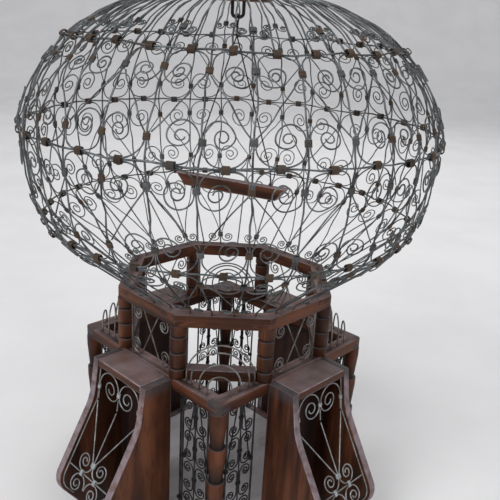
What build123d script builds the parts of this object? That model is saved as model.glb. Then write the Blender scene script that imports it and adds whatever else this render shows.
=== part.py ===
from build123d import *
import os
from math import cos, hypot, pi, radians, sin, sqrt, tan

# Bird cage: a wire dome on an eight sided tower, on a square base with four flared legs.
# Millimetres, +Z up. The origin is on the floor under the middle, and one corner of the
# square base points at the front, -Y. Azimuths are counted from the front, positive to +X.

# Wire and wood clearances
wire_gap = 0.3
wood_gap = 0.1
running_gap = 0.08
moving_gap = 0.4

# Wire stock, diameters
rib_d = 1.5
ring_d = 1.6
scroll_d = 1.2
lattice_d = 1.2
hoop_d = 1.6
panel_d = 1.4
frame_wire_d = 2.0
link_d = 3.2
swing_d = 1.5
collar_wall = 0.5
collar_len = 6.0

# Square base
base_h = 170.0
wall_apothem = 99.5
frame_w = 15.0
frame_h = 10.5
floor_rail_h = 10.0
floor_board_t = 4.0
floor_rebate = 5.0
frame_corner_r = 6.0
corner_post_d = 17.0
corner_post_waist = 12.5
corner_post_bands = 4
corner_band_h = 10.0
tenon_d = 7.0
tenon_len = 4.0

# Eight sided tower
post_len = 54.6
post_d = 16.0
post_groove_r = 1.6
post_groove_depth = 1.1
post_grooves = (0.2, 0.5, 0.8)
octagon_w = 14.0
octagon_h = 12.0
sill_h = 11.0
sill_w = 13.0

# Flared legs on the four straight sides of the base
leg_w = 84.0
leg_board = 7.5
leg_top_reach = 31.0
leg_neck_reach = 37.0
leg_neck_drop = 42.0
leg_neck_r = 60.0
leg_knee_reach = 83.0
leg_knee_drop = 122.0
leg_knee_r = 22.0
leg_foot_reach = 48.0
leg_top_t = 8.0
leg_back_t = 4.0
leg_wire_inset = 4.0
leg_curl_r = 10.0
leg_side_wire_len = 24.0
leg_cross_height = 22.0

# Dome: the rib starts upright in the octagon, leans out, and closes to a flat top
rib_count = 32
foot_r = 104.0
foot_peg = 7.0
foot_bend_r = 5.0
lean = 51.5
dome_r = 200.0
shoulder_r = 92.5
belly_r = 284.5
belly_turn = 11.5
waist_r = 57.5
waist_turn = 18.5
crown_r = 136.5
crown_turn = 33.0
top_r = 183.5
hub_r = 32.0
hub_h = 15.0
hub_edge_r = 3.0
rib_end_depth = 7.0

# Heights of the rings, as lengths along a rib from the octagon's top
lower_ring_s = 107.0
upper_ring_s = 287.0
row_step = 18.0
foot_row_s = 12.0
cap_row_s = 311.0
ring_collar_len = 7.0
ring_collar_depth = 4.6

# Scrolls: the radius of each row's curls, how it shrinks at each half turn, and the half turns
upper_curl_r = 10.0
waist_curl_r = 11.5
lower_curl_r = 10.5
foot_curl_r = 6.0
curl_ratio = 0.66
curl_turns = 4
lattice_offset = 0.06

# Swing under the hub
swing_turn = -27.0
link_half_w = 6.0
link_bend_r = 4.0
link_drop = 14.0
link_rise = 20.0
eye_r = 3.0
neck_d = 2.4
neck_len = 15.0
swing_bend_r = 6.0
perch_top_len = 126.0
perch_bottom_len = 104.0
perch_h = 13.0
perch_t = 9.0
perch_top_z = 340.0
perch_hole_x = 44.0
knot_r = 1.8

# Balconies at the four corners: nested wire hoops
hoop_radii = (32.0, 27.0, 19.0, 11.0)
hoop_leg = 7.0
hoop_peg = 5.0

# Door in the front left side, beside the leg
hinge_stand_off = 6.0
door_eye_d = 2.0
door_eye_inset = 22.0
door_gap = 2.0
door_corner_r = 5.0
door_stop_h = 1.5
door_stop_rim = 0.9
tower_curl_r = 8.5
tower_scroll_lean = 62.0
panel_curl_r = 6.5
panel_pairs = 4
panel_margin = 3.0

# Levels that follow from the sizes above
frame_top = base_h
frame_bottom = base_h - frame_h
octagon_bottom = frame_top + post_len
octagon_top = octagon_bottom + octagon_h
rib_step = 360.0 / rib_count
octagon_half_side = wall_apothem * tan(radians(22.5))
square_corner = wall_apothem * sqrt(2)
sides = ("front_right", "back_right", "back_left", "front_left")
corners = ("front", "right", "back", "left")
door_side = "front_left"


def turned(shape, azimuth):
    """Turn a shape made at the front, round the cage's axis."""
    return shape.moved(Location((0, 0, 0), (0, 0, azimuth)))


def rod(edges, diameter):
    """A round wire along tangent lines and arcs."""
    path = Wire(edges)
    section = Plane(origin=path @ 0, z_dir=path % 0) * Circle(diameter / 2)
    return sweep(section, path=path).solid()


def straight(start, end, diameter):
    return rod([Edge.make_line(start, end)], diameter)


def export(name, solids):
    export_step(Compound(list(solids)), "parts/" + name + ".step")


# Rib of the dome, in the XZ plane with X outwards and Z = 0 on the octagon's top


def rib_edges():
    """Edges of one rib from its peg to the hub, and the lengths of the parts that matter."""
    bend = radians(lean)
    foot_run = foot_bend_r * (1 - cos(bend))
    shoulder_run = shoulder_r * (cos(radians(belly_turn)) - cos(bend))
    belly_run = belly_r * (1 - cos(radians(belly_turn)))
    slope_len = (dome_r - foot_r - foot_run - shoulder_run - belly_run) / sin(bend)
    peg = Line((foot_r, -foot_peg), (foot_r, 0))
    toe = JernArc(peg @ 1, peg % 1, foot_bend_r, -lean)
    slope = Line(toe @ 1, toe @ 1 + (toe % 1) * slope_len)
    shoulder = JernArc(slope @ 1, slope % 1, shoulder_r, lean - belly_turn)
    belly = JernArc(shoulder @ 1, shoulder % 1, belly_r, belly_turn)
    waist = JernArc(belly @ 1, belly % 1, waist_r, waist_turn)
    crown = JernArc(waist @ 1, waist % 1, crown_r, crown_turn)
    top = JernArc(crown @ 1, crown % 1, top_r, 90 - waist_turn - crown_turn)
    end = Line(top @ 1, (hub_r - rib_end_depth, (top @ 1).Y))
    parts = [peg, toe, slope, shoulder, belly, waist, crown, top, end]
    return [Plane.XZ.location * part.edge() for part in parts]


rib_parts = rib_edges()
equator_s = sum(edge.length for edge in rib_parts[1:5])
hub_mid_z = octagon_top + (rib_parts[-1] @ 1).Z
hub_bottom = hub_mid_z - hub_h / 2
hub_top = hub_mid_z + hub_h / 2


def rib_point(s):
    """Place and direction on the rib at length s above the octagon's top."""
    left = s + foot_peg
    for edge in rib_parts:
        if left <= edge.length:
            return edge @ (left / edge.length), edge % (left / edge.length)
        left -= edge.length
    raise ValueError("length beyond the end of the rib")


def spot(azimuth, s, outwards=0.0):
    """Tangent plane on the dome: X to the right seen from outside, Y up, Z outwards."""
    place, along = rib_point(s)
    angle = radians(azimuth)
    right = Vector(cos(angle), sin(angle), 0)
    up = Vector(sin(angle) * along.X, -cos(angle) * along.X, along.Z)
    normal = right.cross(up)
    middle = Vector(sin(angle) * place.X, -cos(angle) * place.X, octagon_top + place.Z)
    return Plane(origin=middle + normal * outwards, x_dir=right, z_dir=normal)


def rib_azimuth(index):
    return (index + 0.5) * rib_step


def half_pitch(s):
    """Half the distance between two ribs at length s."""
    return rib_point(s)[0].X * radians(rib_step) / 2


# Scrolls, arches, lattice and collars of the dome


def spiral_edges(start, heading, radius, hand=1):
    """Half circles of shrinking radius, from start along heading; hand 1 turns left."""
    edges = []
    for _ in range(curl_turns):
        arc = JernArc(start, heading, radius, 180 * hand)
        edges.append(arc.edge())
        start = arc @ 1
        heading = arc % 1
        radius *= curl_ratio
    return edges


beside_rib = rib_d / 2 + wire_gap + scroll_d / 2
ring_out = rib_d / 2 + wire_gap + ring_d / 2
beside_ring = ring_d / 2 + wire_gap + scroll_d / 2
ring_collar_h = 2 * (beside_ring + scroll_d / 2 + 2 * wire_gap)
rib_collar_w = rib_d + 2 * (wire_gap + scroll_d) + 2 * wire_gap
rib_collar_t = max(rib_d, scroll_d) + 2 * wire_gap
arch_tail = collar_len / 2 + scroll_d


def arch_height(s, ring_s, x):
    """Height above a row at x where a wire in the row's plane passes just beside the ring."""
    row = spot(0, s)
    ring_side = spot(rib_step / 2, ring_s, ring_out)
    level = ring_side.to_local_coords(row.from_local_coords(Vector(x, 0, 0))).Y
    rise = ring_side.to_local_coords(row.from_local_coords(Vector(x, 1, 0))).Y - level
    side = -1 if ring_s > s else 1
    return abs((side * beside_ring - level) / rise)


def arch_edges(reach_x, reach_y):
    """Flat under the ring's collar, a quarter circle, and straight down through the rib's collar."""
    radius = min(reach_x - beside_rib - ring_collar_len / 2, reach_y - collar_len / 2)
    flat = Edge.make_line((reach_x, reach_y), (beside_rib + radius, reach_y))
    bend = CenterArc((beside_rib + radius, reach_y - radius), radius, 90, 90).edge()
    drop = Edge.make_line((beside_rib, reach_y - radius), (beside_rib, -collar_len / 2))
    return [flat, bend, drop]


def scroll_row(s, ring_s, curl_r, curled_rib):
    """Arches from a ring to the ribs, two beside each rib, tied at the ring and at the rib.

    Ribs with the parity curled_rib carry full curls, the others only the arches.
    """
    reach_x = half_pitch(ring_s) - wire_gap
    arch = arch_edges(reach_x, arch_height(s, ring_s, reach_x))
    foot_end = (beside_rib, -collar_len / 2)
    tail = Edge.make_line(foot_end, (beside_rib, -arch_tail))
    curled = rod(arch + spiral_edges(foot_end, (0, -1), curl_r), scroll_d)
    plain = rod(arch + [tail], scroll_d)
    solids = []
    for index in range(rib_count):
        shape = curled if index % 2 == curled_rib else plain
        if ring_s < s:
            shape = shape.mirror(Plane.XZ)
        place = spot(rib_azimuth(index), s).location
        solids.append(shape.moved(place))
        solids.append(shape.mirror(Plane.YZ).moved(place))
    return solids


def small_scroll_row(s, curl_r):
    """Pairs of small curls tied to every second rib, with a straight tail up beside the rib."""
    foot_end = (beside_rib, -collar_len / 2)
    tail = Edge.make_line((beside_rib, arch_tail), foot_end)
    shape = rod([tail] + spiral_edges(foot_end, (0, -1), curl_r), scroll_d)
    other = shape.mirror(Plane.YZ)
    solids = []
    for index in range(0, rib_count, 2):
        place = spot(rib_azimuth(index), s).location
        solids += [shape.moved(place), other.moved(place)]
    return solids


def cap_curl_r():
    """Radius of a curl that fits between a rib and the cap's wire half way to the next rib."""
    room = half_pitch(cap_row_s - collar_len / 2) - rib_d / 2 - wire_gap
    return (room - scroll_d / 2 - beside_rib) / 2


def lattice(first_rib, s_from, s_to):
    """Crossing wires inside the ribs, from every second rib to both its neighbours."""
    solids = []
    layer = rib_d / 2 + wire_gap + lattice_d / 2
    climb = 1 if s_to > s_from else -1
    past_collar = collar_len / 2 + wire_gap + lattice_d / 2
    start_s = s_from + climb * past_collar
    end_s = s_to - climb * past_collar
    mid_s = (start_s + end_s) / 2
    for step in (-1, 1):
        mid_depth = layer if step > 0 else layer + lattice_d + wire_gap
        for index in range(first_rib, rib_count, 2):
            azimuth = rib_azimuth(index)
            start = spot(azimuth + step * rib_step * lattice_offset, start_s, -layer).origin
            middle = spot(azimuth + step * rib_step / 2, mid_s, -mid_depth).origin
            end = spot(azimuth + step * rib_step * (1 - lattice_offset), end_s, -layer).origin
            solids.append(rod([Edge.make_three_point_arc(start, middle, end)], lattice_d))
    return solids


def sleeve(length_y, inner_x, inner_z):
    """A flat band wrapped round a bundle that runs along Y."""
    outer = Box(inner_x + 2 * collar_wall, length_y, inner_z + 2 * collar_wall)
    return (outer - Box(inner_x, length_y + 2, inner_z)).solid()


def rib_collars(s, every=1):
    shape = sleeve(collar_len, rib_collar_w, rib_collar_t)
    return [shape.moved(spot(rib_azimuth(i), s).location) for i in range(0, rib_count, every)]


def ring_collars(s):
    """Bands round a ring and the ends of the arches, half way between the ribs."""
    shape = sleeve(ring_collar_len, ring_collar_h, ring_collar_depth)
    shape = shape.moved(Location((0, 0, 0), (0, 0, 90)))
    return [shape.moved(spot(i * rib_step, s, ring_out).location) for i in range(rib_count)]


def ring(s):
    """A round wire tied on the outside of the ribs."""
    place = spot(0, s, ring_out).origin
    return Torus(-place.Y, ring_d / 2).moved(Location((0, 0, place.Z))).solid()


def cap_wires():
    """Wires half way between the ribs, from the upper ring's collars to the hub."""
    edges = []
    collar_top = upper_ring_s + ring_collar_h / 2 + collar_wall
    left = collar_top + wire_gap + foot_peg
    for edge in rib_parts:
        if left < edge.length:
            edges.append(edge.trim(max(left, 0) / edge.length, 1))
        left -= edge.length
    shape = rod(edges, rib_d).moved(Location((0, 0, octagon_top)))
    return [turned(shape, i * rib_step - 90) for i in range(rib_count)]


rib_shape = rod(rib_parts, rib_d).moved(Location((0, 0, octagon_top)))
ribs = [turned(rib_shape, rib_azimuth(i) - 90) for i in range(rib_count)]


# Hub at the top, the link through it and the swing that hangs from the link


def hub_disc():
    disc = Cylinder(hub_r, hub_h)
    disc = fillet(disc.edges().filter_by(GeomType.CIRCLE), hub_edge_r)
    hole_len = rib_end_depth + wood_gap
    drill = Cylinder(rib_d / 2 + wood_gap, hole_len, rotation=(0, 90, 0))
    drill = Pos(hub_r - hole_len / 2, 0, 0) * drill
    holes = [turned(drill, i * rib_step / 2) for i in range(2 * rib_count)]
    for side in (-1, 1):
        leg_hole = Pos(side * link_half_w, 0, 0) * Cylinder(link_d / 2 + wood_gap, 2 * hub_h)
        holes.append(turned(leg_hole, swing_turn))
    return (Pos(0, 0, hub_mid_z) * (disc - holes)).solid()


link_bottom = hub_bottom - link_drop
link_top = hub_top + link_rise


def link():
    """A closed loop of thick wire: the cage hangs by its top, the swing by its bottom."""
    loop = RectangleRounded(2 * link_half_w, link_top - link_bottom, link_bend_r)
    middle = Plane(origin=(0, 0, (link_top + link_bottom) / 2), x_dir=(1, 0, 0), z_dir=(0, -1, 0))
    return turned(rod((middle * loop).edges(), link_d), swing_turn)


def swing_wires():
    """Eye round the link, twisted neck and two legs that end in knots under the perch."""
    slack = eye_r - swing_d / 2 - link_d / 2 - wire_gap
    eye_z = link_bottom - slack
    neck_top = eye_z - eye_r
    neck_bottom = neck_top - neck_len
    knot_z = perch_top_z - perch_h - wire_gap - knot_r
    shape = Pos(0, 0, eye_z) * Rot(0, 90, 0) * Torus(eye_r, swing_d / 2)
    shape += Pos(0, 0, (neck_top + neck_bottom) / 2) * Cylinder(neck_d / 2, neck_len)
    for side in (-1, 1):
        shoulder = (side * perch_hole_x, perch_top_z + 2 * swing_bend_r)
        points = [(0, neck_bottom + swing_d / 2), shoulder, (side * perch_hole_x, knot_z)]
        path = Plane.XZ.location * FilletPolyline(*points, radius=swing_bend_r)
        shape += rod(path.edges(), swing_d)
        shape += Pos(side * perch_hole_x, 0, knot_z) * Sphere(knot_r)
    return turned(shape.solid(), swing_turn)


def swing_perch():
    half_top = perch_top_len / 2
    half_bottom = perch_bottom_len / 2
    low = perch_top_z - perch_h
    outline = Polygon((-half_top, perch_top_z), (-half_bottom, low), (half_bottom, low),
                      (half_top, perch_top_z), align=None)
    board = extrude(Plane.XZ * outline, perch_t / 2, both=True)
    for side in (-1, 1):
        drill = Cylinder(swing_d / 2 + wire_gap, perch_h * 2)
        board -= Pos(side * perch_hole_x, 0, low + perch_h / 2) * drill
    return turned(board.solid(), swing_turn)


# Wood of the tower and the base, each piece made at the front and turned into place


def peg_hole(x, y, z, diameter, depth):
    """A drilled hole whose mouth is at z; a negative depth drills upwards."""
    middle = z - depth / 2
    return Pos(x, y, middle) * Cylinder(diameter / 2 + wood_gap, abs(depth))


def octagon_rails():
    """Eight rails, half lapped at the corners, drilled for the ribs and the posts."""
    outer = wall_apothem + octagon_w / 2
    outline = [(outer / cos(pi / 8) * cos(pi / 8 + k * pi / 4),
                outer / cos(pi / 8) * sin(pi / 8 + k * pi / 4)) for k in range(8)]
    prism = extrude(Polygon(*outline, align=None), octagon_h)
    length = 2 * outer
    bar = Pos(0, -wall_apothem, octagon_h / 2) * Box(length, octagon_w, octagon_h)
    gap_w = octagon_w + 2 * wood_gap
    gap_bar = Pos(0, -wall_apothem, octagon_h / 2) * Box(length, gap_w, octagon_h)
    half = octagon_h / 2 + wood_gap
    low_half = Pos(0, 0, half / 2) * Box(4 * outer, 4 * outer, half)
    high_half = Pos(0, 0, octagon_h - half / 2) * Box(4 * outer, 4 * outer, half)
    cuts = [peg_hole(*foot(i), octagon_top, rib_d, foot_peg + wood_gap) for i in range(rib_count)]
    cuts += post_holes(octagon_bottom, -1)
    rails = []
    for k in range(8):
        keep = low_half if k % 2 == 0 else high_half
        rail = bar & prism
        for step in (-45, 45):
            rail -= turned(gap_bar, step) & keep
        rail = turned(Pos(0, 0, octagon_bottom) * rail, 45 * k)
        rails.append((rail - cuts).solid())
    return rails


def foot(index):
    """Where a rib's peg enters the octagon."""
    angle = radians(rib_azimuth(index))
    return foot_r * sin(angle), -foot_r * cos(angle)


def post_places():
    radius = wall_apothem / cos(pi / 8)
    return [(radius * sin(a), -radius * cos(a)) for a in [pi / 8 + k * pi / 4 for k in range(8)]]


def post_holes(z, sense):
    depth = sense * (tenon_len + wood_gap)
    return [peg_hole(x, y, z, tenon_d, depth) for x, y in post_places()]


def tower_posts():
    """Eight turned posts with grooves and a tenon at each end."""
    post = Pos(0, 0, post_len / 2) * Cylinder(post_d / 2, post_len)
    groove_at = post_d / 2 + post_groove_r - post_groove_depth
    for share in post_grooves:
        post -= Pos(0, 0, share * post_len) * Torus(groove_at, post_groove_r)
    post += Pos(0, 0, post_len / 2) * Cylinder(tenon_d / 2, post_len + 2 * tenon_len)
    return [(Pos(x, y, frame_top) * post).solid() for x, y in post_places()]


def sill():
    """Rail between two posts, under the opening to a balcony."""
    length = 2 * octagon_half_side - post_d - 2 * wood_gap
    rail = Box(length, sill_w, sill_h)
    return (Pos(0, -wall_apothem, frame_top + sill_h / 2) * rail).solid()


def hoop_y(radius):
    """Hoops cross a balcony where the two frame rails are just their own width apart."""
    return -(square_corner - radius)


def square_frame(bottom, height, holes):
    """Four rails, half lapped at rounded corners."""
    half_len = wall_apothem + frame_w / 2
    outline = Pos(0, -wall_apothem) * Rectangle(2 * half_len, frame_w)
    outline = fillet(outline.vertices().sort_by(Axis.Y)[:2], frame_corner_r)
    bar = extrude(outline, height)
    lap = frame_w + wood_gap
    half = height / 2 + wood_gap / 2
    rails = []
    for k in range(4):
        low = 0 if k % 2 == 0 else height - half
        rail = bar
        for side in (-1, 1):
            middle = side * (half_len - lap / 2)
            rail -= Pos(middle, -wall_apothem, low + half / 2) * Box(lap, frame_w, half)
        rail = turned(Pos(0, 0, bottom) * rail, 45 + 90 * k)
        rails.append((rail - holes).solid())
    return rails


def corner_places():
    return [(square_corner * sin(a), -square_corner * cos(a)) for a in [k * pi / 2 for k in range(4)]]


def corner_post():
    """A turned post of short bands, each with a taper below it, and a tenon at each end."""
    length = frame_bottom - floor_rail_h
    step = length / corner_post_bands
    points = [(0, 0)]
    for k in range(corner_post_bands):
        low = k * step
        points += [(corner_post_waist / 2, low), (corner_post_d / 2, low + step - corner_band_h),
                   (corner_post_d / 2, low + step)]
    points.append((0, length))
    outline = Plane.XZ * Polygon(*points, align=None)
    post = revolve(outline, Axis.Z)
    post += Pos(0, 0, length / 2) * Cylinder(tenon_d / 2, length + 2 * tenon_len)
    return Pos(0, 0, floor_rail_h) * post


def floor_board():
    return floor_slab(floor_rebate - wood_gap)


def floor_slab(rebate):
    """The square between the floor rails, reaching into their rebate."""
    side = 2 * (wall_apothem - frame_w / 2 + rebate)
    slab = Box(side, side, floor_board_t, rotation=(0, 0, 45))
    return Pos(0, 0, floor_rail_h - floor_board_t / 2) * slab


def hoops():
    """The nested hoops of the front balcony, with pegs in the frame rails."""
    solids = []
    for radius in hoop_radii:
        leg_low = frame_top - hoop_peg
        leg_high = frame_top + hoop_leg
        right = Line((radius, leg_low), (radius, leg_high))
        over = CenterArc((0, leg_high), radius, 0, 180)
        left = Line((-radius, leg_high), (-radius, leg_low))
        plane = Plane(origin=(0, hoop_y(radius), 0), x_dir=(1, 0, 0), z_dir=(0, -1, 0))
        solids.append(rod([plane.location * part.edge() for part in (right, over, left)], hoop_d))
    return solids


def hoop_holes():
    holes = []
    for radius in hoop_radii:
        for side in (-1, 1):
            hole = peg_hole(side * radius, hoop_y(radius), frame_top, hoop_d, hoop_peg + wood_gap)
            holes += [turned(hole, 90 * k) for k in range(4)]
    return holes


# Flared legs, made at the front side and turned to the four sides of the base

leg_face = wall_apothem + frame_w / 2 + wood_gap
leg_inner_w = leg_w - 2 * leg_board


def leg_outline():
    """Side board seen from its end: X is the distance out from the base's side, Y is up."""
    neck = (leg_neck_reach, base_h - leg_neck_drop)
    knee = (leg_knee_reach, base_h - leg_knee_drop)
    front = [(leg_foot_reach, 0), knee, neck, (leg_top_reach, base_h)]
    outline = Polygon((0, 0), *front, (0, base_h), align=None)
    outline = fillet(outline.vertices().sort_by_distance(knee)[0], leg_knee_r)
    return fillet(outline.vertices().sort_by_distance(neck)[0], leg_neck_r)


def leg_plane(x):
    """Upright plane across a leg, with its X outwards and its Y up."""
    return Plane(origin=(x, -leg_face, 0), x_dir=(0, -1, 0), z_dir=(-1, 0, 0))


def leg_sides():
    boards = []
    for side in (-1, 1):
        middle = side * (leg_w - leg_board) / 2
        board = extrude(leg_plane(middle) * leg_outline(), leg_board / 2, both=True)
        boards.append(board.solid())
    return boards


def leg_top():
    reach = leg_top_reach - wood_gap
    board = Box(leg_inner_w - 2 * wood_gap, reach, leg_top_t)
    return (Pos(0, -leg_face - reach / 2, base_h - leg_top_t / 2) * board).solid()


def leg_back():
    height = base_h - leg_top_t - wood_gap
    board = Box(leg_inner_w - 2 * wood_gap, leg_back_t, height)
    return (Pos(0, -leg_face - leg_back_t / 2, height / 2) * board).solid()


def curl_pair(plane, radius, upside_down=False):
    """Two curls that start side by side on the plane's Y axis and wind away from it."""
    beside = panel_d / 2 + wire_gap / 2
    tail = Edge.make_line((beside, panel_d), (beside, 0))
    shape = rod([tail] + spiral_edges((beside, 0), (0, -1), radius), panel_d)
    if upside_down:
        shape = shape.mirror(Plane.XZ)
    return [shape.moved(plane.location), shape.mirror(Plane.YZ).moved(plane.location)]


def leg_slope(start, end):
    """Plane along a straight stretch of the leg's front, set back from the board's edge."""
    run = end[0] - start[0]
    drop = end[1] - start[1]
    up = Vector(0, run, -drop) * (1 / hypot(run, drop))
    up = -up if up.Z < 0 else up
    right = Vector(1, 0, 0)
    normal = right.cross(up)
    origin = Vector(0, -leg_face - start[0], start[1]) - normal * leg_wire_inset
    return Plane(origin=origin, x_dir=right, z_dir=normal)


def knee_drops(slope, foot_face):
    """Distances down the two planes from their origins to the line where they meet."""
    gap_y = foot_face.origin.Y - slope.origin.Y
    gap_z = foot_face.origin.Z - slope.origin.Z
    cross = slope.y_dir.Y * foot_face.y_dir.Z - slope.y_dir.Z * foot_face.y_dir.Y
    down_slope = -(gap_y * foot_face.y_dir.Z - gap_z * foot_face.y_dir.Y) / cross
    down_foot = -(gap_y * slope.y_dir.Z - gap_z * slope.y_dir.Y) / cross
    return down_slope, down_foot


def lowered(plane, drop):
    """The same plane with its origin moved down its own Y."""
    return Plane(origin=plane.origin - plane.y_dir * drop, x_dir=plane.x_dir, z_dir=plane.z_dir)


def leg_ornament():
    """Wire work across the front of a leg: side wires, curls, a fan of three and a cross wire."""
    neck = (leg_neck_reach, base_h - leg_neck_drop)
    knee = (leg_knee_reach, base_h - leg_knee_drop)
    upper = leg_slope(neck, (leg_top_reach, base_h))
    slope = leg_slope(neck, knee)
    foot_face = leg_slope(knee, (leg_foot_reach, 0))
    slope_drop, foot_drop = knee_drops(slope, foot_face)
    neck_drop, _ = knee_drops(upper, slope)
    side_x = leg_inner_w / 2 - wire_gap - panel_d / 2
    high = upper.origin + upper.y_dir * (leg_neck_drop - leg_top_t - panel_d)
    bend = lowered(slope, slope_drop).origin
    low = lowered(foot_face, foot_drop + leg_side_wire_len).origin
    route = [(p.Y, p.Z) for p in (high, lowered(upper, neck_drop).origin, bend, low)]
    flat = Plane(origin=(0, 0, 0), x_dir=(0, 1, 0), z_dir=(1, 0, 0))
    path = flat.location * FilletPolyline(*route, radius=leg_knee_r - leg_wire_inset)
    side_wire = rod(path.edges(), panel_d)
    solids = [side_wire.moved(Location((x, 0, 0))) for x in (-side_x, side_x)]
    curl_x = side_x - panel_d - wire_gap
    curl_r = (curl_x - panel_d / 2 - wire_gap / 2) / 2
    curl_top = leg_neck_drop - leg_top_t - curl_r - panel_d
    joint = wire_gap / 2 + panel_d / 4
    tail = Edge.make_line((-curl_x, joint), (-curl_x, curl_top))
    curl = rod([tail] + spiral_edges((-curl_x, curl_top), (0, 1), curl_r, -1), panel_d)
    solids += [curl.moved(upper.location), curl.mirror(Plane.YZ).moved(upper.location)]
    middle_top = curl_top - curl_r / 3
    solids.append(straight((0, joint, 0), (0, middle_top, 0), panel_d).moved(upper.location))
    cross_drop = slope_drop - leg_cross_height
    step = panel_d + wire_gap
    pair_drop = cross_drop - step - leg_curl_r
    for x in (-curl_x, 0, curl_x):
        low_x = x / curl_x * step
        wire = straight((x, -joint, 0), (low_x, step - pair_drop, 0), panel_d)
        solids.append(wire.moved(slope.location))
    solids += curl_pair(lowered(slope, pair_drop), leg_curl_r)
    cross_x = side_x - panel_d / 2 - wire_gap
    cross = straight((-cross_x, -cross_drop, 0), (cross_x, -cross_drop, 0), panel_d)
    solids.append(cross.moved(slope.location))
    solids += curl_pair(lowered(slope, cross_drop + step + leg_curl_r), leg_curl_r, True)
    return solids


# Wire panels of the tower and the base, and the door


def wall_plane(x, z, outwards=0.0):
    """Upright plane in the wall at the front, with X to the right and Y up."""
    return Plane(origin=(x, -wall_apothem - outwards, z), x_dir=(1, 0, 0), z_dir=(0, -1, 0))


def tower_panel():
    """Two crossing S scrolls and two upright wires between the posts."""
    half_w = octagon_half_side - post_d / 2 - panel_margin
    lean_angle = radians(tower_scroll_lean)
    rise = tower_curl_r * (1 - cos(lean_angle))
    top_y = post_len / 2 - wire_gap - panel_d / 2 - rise
    top = Vector(top_y / tan(lean_angle), top_y)
    along = top.normalized()
    line = Edge.make_line(-top, top)
    upper = spiral_edges(top, along, tower_curl_r, -1)
    lower = spiral_edges(-top, -along, tower_curl_r, -1)
    scroll = rod(lower + [line] + upper, panel_d)
    mid_z = frame_top + post_len / 2
    layer = (panel_d + wire_gap) / 2
    solids = [scroll.moved(wall_plane(0, mid_z, layer).location),
              scroll.mirror(Plane.YZ).moved(wall_plane(0, mid_z, -layer).location)]
    for x in (-half_w, half_w):
        solids.append(upright_wire(x, frame_top + wood_gap, octagon_bottom - wood_gap, panel_d))
    return solids


panel_low = floor_rail_h + wood_gap
panel_high = frame_bottom - wood_gap
hinge_x = leg_w / 2 + hinge_stand_off
hinge_frame_x = hinge_x + frame_wire_d / 2 + door_stop_rim + moving_gap + frame_wire_d / 2
latch_frame_x = wall_apothem - corner_post_d / 2 - panel_margin - frame_wire_d / 2
panel_mid_x = (hinge_frame_x + latch_frame_x) / 2


def panel_filling(low, high):
    """Pairs of C scrolls back to back along the middle wire, and a fan, between the uprights."""
    solids = []
    half_w = (latch_frame_x - hinge_frame_x) / 2 - frame_wire_d / 2 - wire_gap
    beside = panel_d + wire_gap
    bay = (high - low) / panel_pairs
    curl_x = half_w - panel_d / 2
    radius = min(panel_curl_r, curl_x / 2 - panel_d)
    for k in range(panel_pairs):
        top = high - k * bay - radius - panel_d
        bottom = high - (k + 1) * bay + radius + panel_d
        for side in (-1, 1):
            back = Edge.make_line((side * beside, bottom), (side * beside, top))
            lower = spiral_edges((side * beside, bottom), (0, -1), radius, side)
            upper = spiral_edges((side * beside, top), (0, 1), radius, -side)
            scroll = rod(lower + [back] + upper, panel_d)
            solids.append(scroll.moved(wall_plane(panel_mid_x, 0).location))
    for side in (-1, 1):
        start = (side * (beside + panel_d), high - panel_d, 0)
        end = (side * curl_x, (high + low) / 2, 0)
        wire = straight(start, end, panel_d)
        solids.append(wire.moved(wall_plane(panel_mid_x, 0, -beside).location))
    return solids


def upright_wire(x, low, high, diameter):
    """A straight wire in the wall at the front."""
    return straight((x, -wall_apothem, low), (x, -wall_apothem, high), diameter)


def base_panel():
    """A fixed panel beside a leg: two heavy uprights and the filling."""
    solids = panel_filling(panel_low, panel_high)
    for x in (hinge_frame_x, latch_frame_x):
        solids.append(upright_wire(x, panel_low, panel_high, frame_wire_d))
    solids.append(upright_wire(panel_mid_x, panel_low, panel_high, panel_d))
    return solids


door_low = floor_rail_h + door_gap + frame_wire_d / 2
door_high = frame_bottom - door_gap - frame_wire_d / 2
door_eyes_z = (door_low + door_eye_inset, door_high - door_eye_inset)


def door_frame():
    """Rounded wire frame with two eyes that turn on the hinge wire."""
    width = latch_frame_x - hinge_frame_x
    height = door_high - door_low
    plane = wall_plane(panel_mid_x, (door_low + door_high) / 2)
    loop = plane * RectangleRounded(width, height, door_corner_r)
    frame = rod(loop.edges(), frame_wire_d)
    eye_r_mid = frame_wire_d / 2 + running_gap + door_eye_d / 2
    for z in door_eyes_z:
        frame += Pos(hinge_x, -wall_apothem, z) * Torus(eye_r_mid, door_eye_d / 2)
    return frame.solid()


def door_filling():
    """Wire work inside the door's frame."""
    inset = frame_wire_d / 2 + wood_gap
    low = door_low + inset
    high = door_high - inset
    solids = panel_filling(low, high)
    solids.append(upright_wire(panel_mid_x, low, high, panel_d))
    return solids


def hinge_wire():
    """Fixed upright that the door turns on, with a collar under the lower eye."""
    wire = upright_wire(hinge_x, panel_low, panel_high, frame_wire_d)
    stop_z = door_eyes_z[0] - door_eye_d / 2 - moving_gap - door_stop_h / 2
    stop = Cylinder(frame_wire_d / 2 + door_stop_rim, door_stop_h)
    return (wire + Pos(hinge_x, -wall_apothem, stop_z) * stop).solid()


# Write one file for each named piece or set of like pieces

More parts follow.
